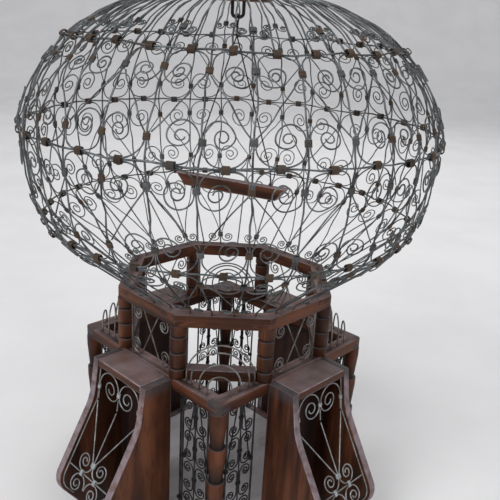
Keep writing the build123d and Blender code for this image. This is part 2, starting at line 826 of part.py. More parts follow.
os.makedirs("parts", exist_ok=True)
export("dome_ribs", ribs)
export("cap_wires", cap_wires())
export("lower_ring", [ring(lower_ring_s)])
export("equator_ring", [ring(equator_s)])
export("upper_ring", [ring(upper_ring_s)])
export("foot_scrolls", small_scroll_row(foot_row_s, foot_curl_r))
export("cap_scrolls", small_scroll_row(cap_row_s, cap_curl_r()))
lower_row = lower_ring_s - row_step
shoulder_row = lower_ring_s + row_step
waist_row = equator_s - row_step
belly_row = equator_s + row_step
upper_row = upper_ring_s - row_step
export("lower_scrolls", scroll_row(lower_row, lower_ring_s, lower_curl_r, 0))
export("shoulder_scrolls", scroll_row(shoulder_row, lower_ring_s, lower_curl_r, 0))
export("waist_scrolls", scroll_row(waist_row, equator_s, waist_curl_r, 1))
export("belly_scrolls", scroll_row(belly_row, equator_s, waist_curl_r, 1))
export("upper_scrolls", scroll_row(upper_row, upper_ring_s, upper_curl_r, 0))
export("lower_lattice", lattice(1, lower_row, foot_row_s))
export("middle_lattice", lattice(0, waist_row, shoulder_row))
export("upper_lattice", lattice(1, upper_row, belly_row))
collars = rib_collars(foot_row_s, 2) + rib_collars(cap_row_s, 2)
for row in (lower_row, shoulder_row, waist_row, belly_row, upper_row):
    collars += rib_collars(row)
export("rib_collars", collars)
bands = []
for ring_s in (lower_ring_s, equator_s, upper_ring_s):
    bands += ring_collars(ring_s)
export("ring_collars", bands)
export("hub_disc", [hub_disc()])
export("hanging_link", [link()])
export("swing_wires", [swing_wires()])
export("swing_perch", [swing_perch()])
export("octagon_rails", octagon_rails())
export("tower_posts", tower_posts())
export("sill_rails", [turned(sill(), 90 * k) for k in range(4)])
frame_holes = hoop_holes() + post_holes(frame_top, 1)
floor_holes = [floor_slab(floor_rebate)]
for x, y in corner_places():
    frame_holes.append(peg_hole(x, y, frame_bottom, tenon_d, -tenon_len - wood_gap))
    floor_holes.append(peg_hole(x, y, floor_rail_h, tenon_d, tenon_len + wood_gap))
frame_rails = square_frame(frame_bottom, frame_h, frame_holes)
export("floor_rails", square_frame(0, floor_rail_h, floor_holes))
export("floor_board", [floor_board().solid()])
for k, (corner, place) in enumerate(zip(corners, corner_places())):
    export("corner_post_" + corner, [(Pos(*place) * corner_post()).solid()])
    export("balcony_hoops_" + corner, [turned(hoop, 90 * k) for hoop in hoops()])
panel = base_panel()
other_panel = [solid.mirror(Plane.YZ) for solid in panel]
for k, side in enumerate(sides):
    azimuth = 45 + 90 * k
    export("frame_rail_" + side, [frame_rails[k]])
    export("tower_panel_" + side, [turned(solid, azimuth) for solid in tower_panel()])
    export("leg_sides_" + side, [turned(solid, azimuth) for solid in leg_sides()])
    export("leg_ornament_" + side, [turned(solid, azimuth) for solid in leg_ornament()])
    fixed = other_panel if side == door_side else panel + other_panel
    export("base_panels_" + side, [turned(solid, azimuth) for solid in fixed])
    if side == door_side:
        export("door_frame", [turned(door_frame(), azimuth)])
        export("door_filling", [turned(solid, azimuth) for solid in door_filling()])
        export("hinge_wire", [turned(hinge_wire(), azimuth)])
export("leg_tops", [turned(leg_top(), 45 + 90 * k) for k in range(4)])
export("leg_backs", [turned(leg_back(), 45 + 90 * k) for k in range(4)])
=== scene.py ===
from math import cos, radians, sin, tau

import bmesh
import bpy
import numpy as np
from mathutils import Matrix, Vector


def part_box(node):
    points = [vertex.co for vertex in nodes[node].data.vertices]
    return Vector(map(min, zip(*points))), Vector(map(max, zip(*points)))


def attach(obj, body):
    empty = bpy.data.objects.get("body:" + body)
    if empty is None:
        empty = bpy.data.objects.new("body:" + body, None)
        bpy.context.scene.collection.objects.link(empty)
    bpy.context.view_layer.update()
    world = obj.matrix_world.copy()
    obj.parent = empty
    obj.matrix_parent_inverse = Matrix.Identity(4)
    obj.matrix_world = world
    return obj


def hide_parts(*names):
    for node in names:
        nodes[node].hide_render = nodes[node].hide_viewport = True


# Bird cage: looks of the wire dome, the wooden tower and base, the swing and the door.
# Metres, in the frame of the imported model. The front is -Y.

mm = 0.001
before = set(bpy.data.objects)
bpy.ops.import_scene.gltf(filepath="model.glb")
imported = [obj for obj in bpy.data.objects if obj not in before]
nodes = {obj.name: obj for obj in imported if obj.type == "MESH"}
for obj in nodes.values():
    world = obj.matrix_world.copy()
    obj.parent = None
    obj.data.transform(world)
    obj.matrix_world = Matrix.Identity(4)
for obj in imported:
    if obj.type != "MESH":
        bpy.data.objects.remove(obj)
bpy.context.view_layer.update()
random_draw = np.random.default_rng(7)

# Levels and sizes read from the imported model
octagon_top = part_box("octagon_rails")[1].z
hub_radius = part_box("hub_disc")[1].x
sides = ("front_right", "back_right", "back_left", "front_left")
corners = ("front", "right", "back", "left")

# Hand bent wire: how far the dome's wires stray, over what length, and how far from the wood in full
stray = 0.9 * mm
stray_length = 70 * mm
stray_fade = 40 * mm
wave_count = 9

# Wood: rounded edges, worn edges, leg side edges paler from wear and a painted sky sheen, grey soiled ends,
# and painted shade in the grooves of posts and on the sill rails
edge_round = 0.9 * mm
post_edge_round = 0.4 * mm
edge_angle = radians(35)
flat_angle = radians(1)
shading_angle = radians(40)
weld_distance = 0.01 * mm
end_facing = 0.75
# Leg side edges: pale from wear and from a painted sky sheen
edge_facing = 0.3
edge_rub_and_sheen = 0.9
end_soil = 14 * mm
clean_half_length = 1.0
soiled_end = (0.052, 0.047, 0.05)
# Painted shade that darkens the sill rails evenly
sill_painted_shade = 0.35
# Painted shade that darkens the grooves of turned posts
groove_shade_start = 0.45 * mm
groove_shade_depth = 0.5 * mm
groove_shade_most = 0.85
groove_shade_color = (0.006, 0.004, 0.003)
grain_slants = ((0.31, 0.42, 0.85), (0.85, 0.31, 0.42))

# Wire of the wraps and ties
wrap_wire = 1.0 * mm
wrap_sides = 6
wrap_steps = 12
wrap_squareness = 0.6

# Wire work that gets ties, in millimetres: the front of a leg as (reach, height), and the panels
leg_face = 107.1
leg_top = (31.0, 170.0)
leg_neck = (37.0, 128.0)
leg_knee = (83.0, 48.0)
leg_inset = 4.0
wall_apothem = 99.5
panel_middle = 69.15
panel_half_w = 16.9
panel_levels = (10.1, 159.4)
door_levels = (14.1, 155.4)
panel_bays = 4
pale_tone = 0.78
black_tone = 0.95

# Ties in millimetres: how far along the leg's slopes from its neck, and beside its middle
curl_tie_up = 17.1
side_tie_x = 32.4
side_tie_up = 13.5
fan_tie_down = 54.5
cross_tie_x = 10.85
cross_tie_down = 67.7
tie_half_t = 1.1
upright_tie_half_t = 1.7
upright_tie_lift = 2
upright_tie_depth = 0.85

# Swing, in millimetres
swing_turn = radians(-27)
link_half_d = 1.6
eye_r = 3.0
eye_slack = 0.35
neck_len = 15.0
neck_turns = 3
neck_steps = 48
bend_steps = 8
perch_top = 340.0
perch_bottom = 327.0
leg_spread = 44.0
swing_bend = 6.0
strand_r = 0.65
strand_sides = 10
eye_steps = 32
knot_drop = 2.0
knot_half_w = 1.1
knot_len = 2.6

# Light: name, place, size and power of each lamp
lamps = (("key_light", (-1.6, -1.4, 2.3), 1.6, 42),
         ("fill_light", (2.0, -1.8, 1.4), 2.0, 16),
         ("back_light", (0.6, 2.0, 2.0), 1.6, 18))
lamp_target = (0, 0, 0.25)
world_color = (0.93, 0.94, 0.96, 1)
world_strength = 0.55

# Floor
floor_reach = 30.0
floor_depth = 3.0
floor_bend = 1.5
floor_bend_steps = 16

# Camera of the photograph
camera_place = (9.35 * mm, -668.1 * mm, 499.8 * mm)
camera_yaw = 0.021
camera_pitch = 0.337
camera_roll = 0.055
camera_focal_px = 676.7
image_px = 500


# Camera, floor and light


def make_camera():
    """The camera that took the photograph, as fitted to the outline of the cage."""
    level_ahead = Vector((sin(camera_yaw), cos(camera_yaw), 0)) * cos(camera_pitch)
    ahead = level_ahead - Vector((0, 0, sin(camera_pitch)))
    level = Vector((cos(camera_yaw), -sin(camera_yaw), 0))
    upright = level.cross(ahead)
    right = level * cos(camera_roll) + upright * sin(camera_roll)
    up = upright * cos(camera_roll) - level * sin(camera_roll)
    data = bpy.data.cameras.new("camera")
    data.sensor_width = 36
    data.lens = camera_focal_px * data.sensor_width / image_px
    data.clip_start = 0.01
    camera = bpy.data.objects.new("camera", data)
    camera.matrix_world = Matrix.Translation(camera_place) @ Matrix((right, up, -ahead)).transposed().to_4x4()
    bpy.context.scene.collection.objects.link(camera)
    bpy.context.scene.camera = camera


def area_light(name, place, size, power):
    data = bpy.data.lights.new(name, "AREA")
    data.shape = "DISK"
    data.size = size
    data.energy = power
    lamp = bpy.data.objects.new(name, data)
    lamp.location = place
    lamp.rotation_euler = (Vector(lamp_target) - Vector(place)).to_track_quat("-Z", "Y").to_euler()
    bpy.context.scene.collection.objects.link(lamp)


def make_light():
    """Three soft lamps and a pale surround."""
    for lamp in lamps:
        area_light(*lamp)
    world = bpy.data.worlds.new("studio")
    world.use_nodes = True
    background = world.node_tree.nodes["Background"]
    background.inputs["Color"].default_value = world_color
    background.inputs["Strength"].default_value = world_strength
    bpy.context.scene.world = world


def make_floor():
    """Pale floor that curves up into a backdrop far behind the cage."""
    profile = [(-floor_reach, 0.0), (floor_depth, 0.0)]
    for k in range(1, floor_bend_steps + 1):
        angle = radians(90 * k / floor_bend_steps)
        profile.append((floor_depth + floor_bend * sin(angle), floor_bend * (1 - cos(angle))))
    profile.append((floor_depth + floor_bend, floor_reach))
    vertices = [(x, y, z) for y, z in profile for x in (-floor_reach, floor_reach)]
    faces = [(2 * k, 2 * k + 1, 2 * k + 3, 2 * k + 2) for k in range(len(profile) - 1)]
    mesh = bpy.data.meshes.new("floor")
    mesh.from_pydata(vertices, [], faces)
    smooth(mesh)
    floor = bpy.data.objects.new("floor", mesh)
    bpy.context.scene.collection.objects.link(floor)
    paint = Paint("pale_floor")
    tone = paint.noise(6.0, detail=4)
    paint.color(paint.ramp(tone, (0.35, (0.80, 0.795, 0.80)), (0.65, (0.845, 0.84, 0.845))))
    paint.set("Roughness", 0.6)
    mesh.materials.append(paint.material)


# Materials


class Paint:
    """A principled material and short ways to add nodes to it."""

    def __init__(self, name):
        self.material = bpy.data.materials.new(name)
        self.material.use_nodes = True
        self.tree = self.material.node_tree
        self.shader = self.tree.nodes["Principled BSDF"]

    def add(self, kind, inputs, **settings):
        node = self.tree.nodes.new("ShaderNode" + kind)
        for key, value in settings.items():
            setattr(node, key, value)
        for key, value in inputs.items():
            self.put(node.inputs[key], value)
        return node

    def put(self, socket, value):
        if isinstance(value, bpy.types.NodeSocket):
            self.tree.links.new(value, socket)
        else:
            socket.default_value = value

    def set(self, socket, value):
        self.put(self.shader.inputs[socket], value)

    def color(self, value):
        self.set("Base Color", value)

    def place(self):
        return self.add("TexCoord", {}).outputs["Object"]

    def attribute(self, name, output="Fac"):
        return self.add("Attribute", {}, attribute_name=name).outputs[output]

    def noise(self, scale, detail=3.0, vector=None, stretch=None):
        vector = vector or self.place()
        if stretch:
            vector = self.add("Mapping", {"Vector": vector, "Scale": stretch}).outputs[0]
        node = self.add("TexNoise", {"Vector": vector, "Scale": scale, "Detail": detail})
        return node.outputs["Fac"]

    def ramp(self, value, *stops):
        node = self.add("ValToRGB", {"Fac": value})
        elements = node.color_ramp.elements
        while len(elements) < len(stops):
            elements.new(0.5)
        for element, (position, color) in zip(elements, stops):
            element.position = position
            element.color = (*color, 1) if isinstance(color, tuple) else (color, color, color, 1)
        return node.outputs["Color"]

    def mix(self, share, first, second, blend="MIX"):
        node = self.tree.nodes.new("ShaderNodeMix")
        node.data_type = "RGBA"
        node.blend_type = blend
        self.put(node.inputs[0], share)
        for socket, value in ((node.inputs[6], first), (node.inputs[7], second)):
            self.put(socket, (*value, 1) if isinstance(value, tuple) else value)
        return node.outputs[2]

    def math(self, operation, first, second=0.5):
        return self.add("Math", {0: first, 1: second}, operation=operation).outputs[0]

    def range(self, value, low, high, to_low=0.0, to_high=1.0):
        return self.add("MapRange", {"Value": value, "From Min": low, "From Max": high,
                                     "To Min": to_low, "To Max": to_high}).outputs[0]

    def facing_up(self):
        normal = self.add("NewGeometry", {}).outputs["Normal"]
        return self.add("SeparateXYZ", {"Vector": normal}).outputs["Z"]

    def bump(self, height, strength, distance):
        node = self.add("Bump", {"Height": height, "Strength": strength, "Distance": distance})
        self.set("Normal", node.outputs["Normal"])


def wire_material(name, bright, dark, rust, rust_share):
    """Dull galvanised wire: blotchy zinc, brown where it has rusted, dark grime in the pits."""
    paint = Paint(name)
    blotch = paint.ramp(paint.noise(90.0, 4), (0.35, dark), (0.62, bright))
    rusty = paint.range(paint.noise(38.0, 5), 0.62 - rust_share, 0.70 - rust_share)
    dirt_and_painted_shade = paint.noise(700.0, 2)
    metal = paint.mix(rusty, blotch, rust)
    paint.color(paint.mix(paint.range(dirt_and_painted_shade, 0.55, 0.75, 0.0, 0.55), metal, dark, "MULTIPLY"))
    paint.set("Metallic", paint.range(rusty, 0.0, 1.0, 0.8, 0.25))
    paint.set("Roughness", paint.range(dirt_and_painted_shade, 0.3, 0.7, 0.36, 0.6))
    paint.bump(dirt_and_painted_shade, 0.25, 0.1 * mm)
    return paint.material


def wrap_material():
    """Wraps differ piece by piece: rusty brown, grey or pale zinc, or nearly black."""
    paint = Paint("collar_wraps")
    which = paint.attribute("tone")
    rust = paint.noise(500.0, 4)
    base = paint.ramp(which, (0.0, (0.040, 0.024, 0.014)), (0.38, (0.085, 0.052, 0.030)),
                      (0.46, (0.075, 0.077, 0.075)), (0.66, (0.15, 0.155, 0.16)), (0.74, (0.44, 0.45, 0.46)),
                      (0.82, (0.44, 0.45, 0.46)), (0.90, (0.016, 0.015, 0.014)))
    paint.color(paint.mix(paint.range(rust, 0.45, 0.75, 0.0, 0.5), base, (0.05, 0.032, 0.022)))
    paint.set("Metallic", paint.range(which, 0.40, 0.46, 0.25, 0.6))
    paint.set("Roughness", paint.range(rust, 0.3, 0.7, 0.45, 0.75))
    paint.bump(rust, 0.3, 0.15 * mm)
    return paint.material


def wood_material(name, dark, middle, light, dust, dust_share, rubbed_and_sheen):
    """Varnished wood: long grain, painted shade in grooves and on sills, grey ends, dust on top, edges bare
    from wear and partly a painted sky sheen.
    """
    paint = Paint(name)
    grain = paint.attribute("grain", "Vector")
    streak = paint.noise(1.0, 6, grain, (9.0, 130.0, 130.0))
    pores = paint.noise(1.0, 2, grain, (60.0, 1400.0, 1400.0))
    patch = paint.noise(14.0, 4)
    tone = paint.math("ADD", paint.math("MULTIPLY", streak, 0.72), paint.math("MULTIPLY", patch, 0.28))
    body = paint.ramp(tone, (0.36, dark), (0.5, middle), (0.64, light))
    body = paint.mix(paint.range(pores, 0.56, 0.72, 0.0, 0.6), body, dark)
    cloud = paint.noise(55.0, 5)
    spots = paint.noise(120.0, 4)
    to_end = paint.math("SUBTRACT", paint.attribute("half_length"),
                        paint.math("ABSOLUTE", paint.attribute("along")))
    soiled = paint.math("MULTIPLY", paint.range(to_end, end_soil, 0.3 * end_soil), 0.8)
    end = paint.math("MAXIMUM", paint.attribute("end_grain"), soiled)
    end = paint.math("MULTIPLY", end, paint.range(spots, 0.35, 0.6, 0.7, 1.0))
    body = paint.mix(end, body, soiled_end)
    upward = paint.range(paint.facing_up(), 0.25, 0.95)
    dusty = paint.math("MULTIPLY", upward, paint.range(cloud, 0.3, 0.65, 0.45, 1.0))
    clean = paint.math("SUBTRACT", 1.0, end)
    dusty = paint.math("MULTIPLY", dusty, clean)
    dusty = paint.math("MULTIPLY", dusty, dust_share)
    body = paint.mix(dusty, body, dust)
    # Bare worn edges; on the leg sides this pale lilac is partly a painted sky sheen
    wear_and_sheen = paint.math("MULTIPLY", paint.attribute("wear_and_sheen"), paint.range(spots, 0.36, 0.58, 0.35, 1.0))
    wear_and_sheen = paint.math("MULTIPLY", wear_and_sheen, clean)
    body = paint.mix(paint.math("MULTIPLY", wear_and_sheen, 0.85), body, rubbed_and_sheen)
    # Painted shade: the grooves of turned posts and the sill rails are darkened toward near black
    paint.color(paint.mix(paint.attribute("dirt_and_painted_shade"), body, groove_shade_color))
    paint.set("Roughness", paint.range(paint.math("ADD", dusty, wear_and_sheen), 0.0, 1.0, 0.5, 0.85))
    paint.set("Specular IOR Level", 0.2)
    paint.bump(paint.math("ADD", pores, paint.math("MULTIPLY", streak, 0.6)), 0.22, 0.3 * mm)
    return paint.material


def iron_material():
    paint = Paint("dark_iron")
    scale = paint.noise(260.0, 5)
    paint.color(paint.ramp(scale, (0.38, (0.012, 0.010, 0.010)), (0.62, (0.05, 0.038, 0.032))))
    paint.set("Metallic", 0.6)
    paint.set("Roughness", paint.range(scale, 0.3, 0.7, 0.4, 0.65))
    paint.bump(scale, 0.4, 0.2 * mm)
    return paint.material


# Mesh helpers


def new_piece(name, mesh, material, body, slot, *replaced):
    """An object on its body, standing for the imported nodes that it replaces."""
    mesh.materials.clear()
    mesh.materials.append(material)
    piece = bpy.data.objects.new(name, mesh)
    bpy.context.scene.collection.objects.link(piece)
    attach(piece, body)
    if replaced:
        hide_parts(*replaced)


def vertex_array(mesh):
    places = np.zeros(len(mesh.vertices) * 3)
    mesh.vertices.foreach_get("co", places)
    return places.reshape(-1, 3)


def smooth(mesh):
    mesh.polygons.foreach_set("use_smooth", [True] * len(mesh.polygons))
    mesh.update()


def islands(mesh):
    """Arrays of vertex numbers, one for each separate solid of a mesh."""
    parent = np.arange(len(mesh.vertices))

    def root(v):
        while parent[v] != v:
            parent[v] = parent[parent[v]]
            v = parent[v]
        return v

    for edge in mesh.edges:
        a, b = (root(v) for v in edge.vertices)
        parent[max(a, b)] = min(a, b)
    roots = np.array([root(v) for v in range(len(parent))])
    return [np.flatnonzero(roots == r) for r in np.unique(roots)]


def tube(points, radius, sides, closed=False):
    """Vertices and faces of a round wire along points, with rounded ends."""
    points = np.asarray(points, float)
    count = len(points)
    ahead = np.roll(points, -1, 0) - np.roll(points, 1, 0)
    if not closed:
        ahead[0] = points[1] - points[0]
        ahead[-1] = points[-1] - points[-2]
    ahead /= np.linalg.norm(ahead, axis=1)[:, None]
    side = np.cross(ahead[0], (0.3, 0.5, 0.8))
    rings = []
    for k in range(count):
        side = side - ahead[k] * side.dot(ahead[k])
        side /= np.linalg.norm(side)
        other = np.cross(ahead[k], side)
        turn = np.arange(sides) * tau / sides
        ring = np.cos(turn)[:, None] * side + np.sin(turn)[:, None] * other
        rings.append(points[k] + radius * ring)
    if not closed:
        rings.insert(0, points[0] - 0.5 * radius * ahead[0] + 0.6 * (rings[0] - points[0]))
        rings.append(points[-1] + 0.5 * radius * ahead[-1] + 0.6 * (rings[-1] - points[-1]))
    faces = []
    around = len(rings) if closed else len(rings) - 1
    for k in range(around):
        low = k * sides
        high = (k + 1) % len(rings) * sides
        for j in range(sides):
            step = (j + 1) % sides
            faces.append((low + j, low + step, high + step, high + j))
    if not closed:
        faces.append(tuple(reversed(range(sides))))
        faces.append(tuple(range((len(rings) - 1) * sides, len(rings) * sides)))
    return np.vstack(rings), faces


def join(shapes, name):
    """One mesh from several (vertices, faces)."""
    vertices = []
    faces = []
    start = 0
    for places, corners_of in shapes:
        vertices.append(places)
        faces += [tuple(start + v for v in face) for face in corners_of]
        start += len(places)
    mesh = bpy.data.meshes.new(name)
    mesh.from_pydata(np.vstack(vertices).tolist(), [], faces)
    smooth(mesh)
    return mesh


# Dome wires, bent by hand


waves = random_draw.normal(0, tau / stray_length, (wave_count, 3))
wave_starts = random_draw.uniform(0, tau, (wave_count, 3))


def hand_bent(places):
    """Points of the dome moved a little by one smooth field, never outwards."""
    phase = places @ waves.T
    shift = np.stack([np.sin(phase + wave_starts[:, k]).sum(1) for k in range(3)], 1)
    shift *= stray / np.sqrt(wave_count / 2)
    out = places * (1, 1, 0)
    radius = np.linalg.norm(out, axis=1)
    out /= np.maximum(radius, mm)[:, None]
    along = (shift * out).sum(1)
    shift -= (along + np.abs(along))[:, None] * out
    rise = np.clip((places[:, 2] - octagon_top) / stray_fade, 0, 1)
    from_hub = np.clip((radius - hub_radius) / stray_fade, 0, 1)
    return places + shift * (rise * from_hub)[:, None]


def bent_copy(node, material):
    """A copy of a dome node with its wires bent."""
    mesh = nodes[node].data.copy()
    mesh.vertices.foreach_set("co", hand_bent(vertex_array(mesh)).ravel())
    smooth(mesh)
    new_piece(node + "_bent", mesh, material, "cage", "galvanised_wire", node)


# Wraps round the bundles of wire


def wrap(middle, across, along, depth, half_w, half_t, length):
    """A coil of thin wire round a flat bundle that runs along one axis."""
    turns = max(2, int(length / wrap_wire))
    steps = turns * wrap_steps
    points = []
    for k in range(steps + 1):
        angle = k / wrap_steps * tau
        x = np.sign(cos(angle)) * abs(cos(angle)) ** wrap_squareness * half_w
        z = np.sign(sin(angle)) * abs(sin(angle)) ** wrap_squareness * half_t
        y = (k / steps - 0.5) * (length - wrap_wire)
        points.append(middle + across * x + along * y + depth * z)
    return tube(points, wrap_wire / 2, wrap_sides)


def wrap_piece(name, shapes, tones, material, body, *replaced):
    """One piece from many coils, each with its own tone."""
    mesh = join(shapes, name)
    spread = np.repeat(tones, [len(places) for places, _ in shapes])
    mesh.attributes.new("tone", "FLOAT", "POINT").data.foreach_set("value", spread)
    new_piece(name, mesh, material, body, "collar_wire", *replaced)


def collar_wraps(node, material, tone_low, tone_high):
    """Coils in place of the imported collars, which are longest along the wires that they tie."""
    source = nodes[node].data.copy()
    weld(source)
    places = vertex_array(source)
    shapes = []
    for island in islands(source):
        corner_points = places[island]
        spread = corner_points - corner_points.mean(0)
        axes = np.linalg.svd(spread, full_matrices=False)[2]
        reach = np.abs(spread @ axes.T).max(0)
        middle = hand_bent(corner_points.mean(0)[None])[0]
        shapes.append(wrap(middle, axes[1], axes[0], axes[2], reach[1] - wrap_wire / 2,
                           reach[2] - wrap_wire / 2, 2 * reach[0]))
    tones = random_draw.uniform(tone_low, tone_high, len(shapes))
    wrap_piece(node + "_wraps", shapes, tones, material, "cage", node)


def weld(mesh):
    """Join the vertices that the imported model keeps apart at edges."""
    shape = bmesh.new()
    shape.from_mesh(mesh)
    bmesh.ops.remove_doubles(shape, verts=shape.verts, dist=weld_distance)
    shape.to_mesh(mesh)
    shape.free()


# Ties on the wire work of the legs, the panels and the door


def upright_frame(azimuth, distance):
    """Axes of an upright plane round the cage: middle, right, up and outwards, in metres."""
    right = np.array((cos(azimuth), sin(azimuth), 0))
    out = np.array((sin(azimuth), -cos(azimuth), 0))
    return out * distance * mm, right, np.array((0, 0, 1.0)), out


def leg_frame(azimuth, end):
    """Axes of the wire work on a leg's front, from the neck towards its top or its knee."""
    middle, right, up, out = upright_frame(azimuth, leg_face + leg_neck[0])
    lean = Vector(end) - Vector(leg_neck)
    lean = lean.normalized() * (1 if lean.y > 0 else -1)
    along = out * lean.x + up * lean.y
    normal = np.cross(right, along)
    return middle + up * leg_neck[1] * mm - normal * leg_inset * mm, right, along, normal


def tie(axes, x, y, half_w, length, half_t=tie_half_t, level=False, depth=0.0):
    """A coil in a plane of wire work, given in millimetres."""
    middle, right, up, normal = axes
    middle = middle + (right * x + up * y + normal * depth) * mm
    across, along = (up, right) if level else (right, up)
    return wrap(middle, across, along, normal, half_w * mm, half_t * mm, length * mm)


def leg_ties(azimuth):
    """Coils that hold the wire work on the front of one leg."""
    upper = leg_frame(azimuth, leg_top)
    slope = leg_frame(azimuth, leg_knee)
    shapes = [tie(upper, 0, curl_tie_up, half_w=1.9, length=5),
              tie(slope, 0, -fan_tie_down, half_w=2.8, length=6)]
    for hand in (-1, 1):
        shapes.append(tie(upper, hand * side_tie_x, side_tie_up, half_w=1.6, length=5))
        shapes.append(tie(slope, hand * cross_tie_x, -cross_tie_down, half_w=2.7, length=4.5, level=True))
    return shapes


def panel_ties(azimuth, hand, levels):
    """Coils round the backs of the C scrolls of a base panel, and one on each upright."""
    axes = upright_frame(azimuth, wall_apothem)
    low, high = levels
    bay = (high - low) / panel_bays
    shapes = []
    for k in range(panel_bays):
        shapes.append(tie(axes, hand * panel_middle, high - (k + 0.5) * bay, half_w=2.5, length=4))
    half_way = high - panel_bays / 2 * bay + upright_tie_lift
    for side in (-1, 1):
        x = hand * panel_middle + side * panel_half_w
        shapes.append(tie(axes, x, half_way, half_w=2.0, length=4, half_t=upright_tie_half_t,
                          depth=-upright_tie_depth))
    return shapes


def all_ties(material):
    """The ties of the legs, of the fixed panels and of the door."""
    legs = []
    panels = []
    for k, side in enumerate(sides):
        azimuth = radians(45 + 90 * k)
        legs += leg_ties(azimuth)
        panels += panel_ties(azimuth, -1, panel_levels)
        if side == "front_left":
            on_door = panel_ties(azimuth, 1, door_levels)
        else:
            panels += panel_ties(azimuth, 1, panel_levels)
    wrap_piece("leg_ties", legs, [pale_tone] * len(legs), material, "cage")
    wrap_piece("panel_ties", panels, [black_tone] * len(panels), material, "cage")
    wrap_piece("door_ties", on_door, [black_tone] * len(on_door), material, "door")


# Swing: two strands twisted together under an eye, then a leg each


def swing_strands(material):
    """The swing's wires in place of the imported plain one."""
    right = np.array((cos(swing_turn), sin(swing_turn), 0))
    back = np.array((-sin(swing_turn), cos(swing_turn), 0))
    up = np.array((0, 0, 1.0))
    eye_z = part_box("hanging_link")[0].z / mm + link_half_d - eye_slack
    neck_top = eye_z - eye_r
    turns = np.arange(eye_steps) * tau / eye_steps
    eye = [back * eye_r * cos(t) + up * (eye_z + eye_r * sin(t)) for t in turns]
    shapes = [tube(np.array(eye) * mm, strand_r * mm, strand_sides, closed=True)]
    for hand in (-1, 1):
        points = []
        for k in range(neck_steps + 1):
            angle = k / neck_steps * neck_turns * tau
            aside = right * cos(angle) + back * sin(angle)
            points.append(aside * hand * strand_r + up * (neck_top - k / neck_steps * neck_len))
        corner = Vector((hand * leg_spread, perch_top + 2 * swing_bend))
        before = (Vector((0, neck_top - neck_len)) - corner).normalized() * swing_bend + corner
        after = corner - Vector((0, swing_bend))
        for k in range(bend_steps + 1):
            t = k / bend_steps
            bend = before * (1 - t) ** 2 + corner * (2 * t * (1 - t)) + after * t ** 2
            points.append(right * bend.x + up * bend.y)
        knot = right * corner.x + up * (perch_bottom - knot_drop)
        points.append(knot)
        shapes.append(tube(np.array(points) * mm, strand_r * mm, strand_sides))
        shapes.append(wrap(knot * mm, right, up, back, knot_half_w * mm, knot_half_w * mm, knot_len * mm))
    mesh = join(shapes, "swing_wires")
    new_piece("swing_wires_twisted", mesh, material, "swing", "dark_iron", "swing_wires")


# Wood with rounded, worn edges and its grain along each piece, painted shade in grooves and on sills, and a
# painted sky sheen on leg side edges


def dressed(node, material, grain_of, body="cage", slot="turned_wood", round_by=edge_round,
            grooved=False, rubbed_and_sheen_edges=False, dirty_ends=False, painted_shade_fill=0.0):
    """A copy of a wooden node with rounded edges, its grain, and marks for wear and dirt, for painted shade
    and for a painted sky sheen.
    """
    mesh = nodes[node].data.copy()
    shape = bmesh.new()
    shape.from_mesh(mesh)
    bevelled = shape.faces.layers.float.new("bevelled")
    bmesh.ops.remove_doubles(shape, verts=shape.verts, dist=weld_distance)
    bmesh.ops.dissolve_limit(shape, angle_limit=flat_angle, verts=shape.verts, edges=shape.edges)
    sharp = [e for e in shape.edges if e.is_manifold and e.calc_face_angle() > edge_angle
             and e.calc_length() > 2 * round_by]
    result = bmesh.ops.bevel(shape, geom=sharp, offset=round_by, segments=2, profile=0.5,
                             affect="EDGES", clamp_overlap=True)
    for face in result["faces"]:
        face[bevelled] = 1.0
    bmesh.ops.triangulate(shape, faces=[f for f in shape.faces if len(f.verts) > 4])
    shape.to_mesh(mesh)
    shape.free()
    mark_wood(mesh, grain_of, grooved, rubbed_and_sheen_edges, dirty_ends, painted_shade_fill)
    smooth(mesh)
    mesh.set_sharp_from_angle(angle=shading_angle)
    new_piece(node + "_wood", mesh, material, body, slot, node)


